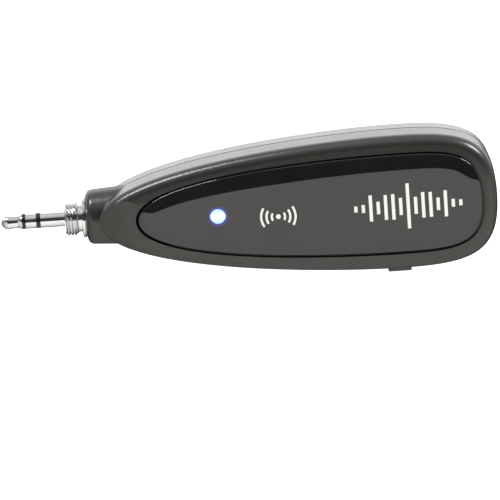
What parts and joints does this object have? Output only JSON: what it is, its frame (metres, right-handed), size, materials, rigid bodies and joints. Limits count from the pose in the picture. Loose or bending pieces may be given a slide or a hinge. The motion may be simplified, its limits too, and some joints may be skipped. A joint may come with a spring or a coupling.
{
  "type": "wireless instrument transmitter",
  "caption": "Plug-on wireless transmitter for an instrument: teardrop housing with a locking mini jack plug, glossy face with status light, micro-USB charging socket and sliding power switch.",
  "frame": {"origin": "on the plug's axis, at the front face of the threaded collar, where the jack meets the housing", "axes": "+X from the plug towards the tail of the housing, +Z out of the face with the status light, -Y out of the side with the charging socket and power switch"},
  "size_m": [0.1132, 0.0321, 0.0182],
  "materials": {
    "housing_plastic": "charcoal ABS, fine moulded satin texture",
    "gloss_panel": "high gloss dark smoked plastic, lightly crowned",
    "adhesive_film": "thin double-sided film",
    "light_pipe_plastic": "clear plastic lit blue-white from behind",
    "screw_steel": "dark zinc plated",
    "plated_contact": "bright nickel plate over brass",
    "plated_collar": "bright nickel plate over brass, turned thread",
    "plug_insulator": "black moulded insulator",
    "circuit_board": "green solder mask over glass epoxy",
    "tinned_sheet": "tinned pressed sheet",
    "chip_package": "moulded epoxy",
    "ceramic": "fired ceramic",
    "ferrite": "ferrite core",
    "tantalum_case": "yellow moulded case",
    "connector_plastic": "black heat-resistant plastic",
    "white_connector": "natural nylon",
    "knob_plastic": "charcoal moulded plastic, satin",
    "cell_pouch": "laminated aluminium pouch",
    "foam": "closed-cell foam tape",
    "red_insulation": "red lead insulation",
    "black_insulation": "black lead insulation",
    "white_insulation": "white lead insulation"
  },
  "bodies": {
    "housing": {"top_shell": "housing_plastic", "bottom_shell": "housing_plastic", "face_panel": "gloss_panel", "panel_adhesive": "adhesive_film", "light_pipe": "light_pipe_plastic", "case_screws": "screw_steel", "board_screws": "screw_steel", "plug_tip": "plated_contact", "plug_insulator_front": "plug_insulator", "plug_ring": "plated_contact", "plug_insulator_rear": "plug_insulator", "plug_sleeve": "plated_contact", "threaded_collar": "plated_collar", "main_board": "circuit_board", "shield_can": "tinned_sheet", "radio_chip": "chip_package", "radio_crystal": "tinned_sheet", "chip_antenna": "ceramic", "controller_chip": "chip_package", "audio_converter_chip": "chip_package", "charging_chip": "chip_package", "power_inductor": "ferrite", "tantalum_capacitors": "tantalum_case", "ceramic_capacitors": "ceramic", "chip_resistors": "chip_package", "status_light": "light_pipe_plastic", "socket_shell": "tinned_sheet", "socket_tongue": "connector_plastic", "socket_contacts": "plated_contact", "switch_frame": "tinned_sheet", "switch_base": "connector_plastic", "switch_terminals": "plated_contact", "battery_cell": "cell_pouch", "battery_pad": "foam", "protection_board": "circuit_board", "battery_header": "white_connector", "battery_connector": "white_connector", "battery_lead_red": "red_insulation", "battery_lead_black": "black_insulation", "tip_lead": "white_insulation", "ring_lead": "red_insulation", "ground_lead": "black_insulation"},
    "slider": {"power_knob": "knob_plastic", "switch_lever": "connector_plastic", "switch_wiper": "plated_contact"}
  },
  "joints": [
    {"name": "power_switch", "type": "slide", "parent": "housing", "child": "slider", "axis": [-1, 0, 0], "range_m": [0, 0.0018]}
  ]
}
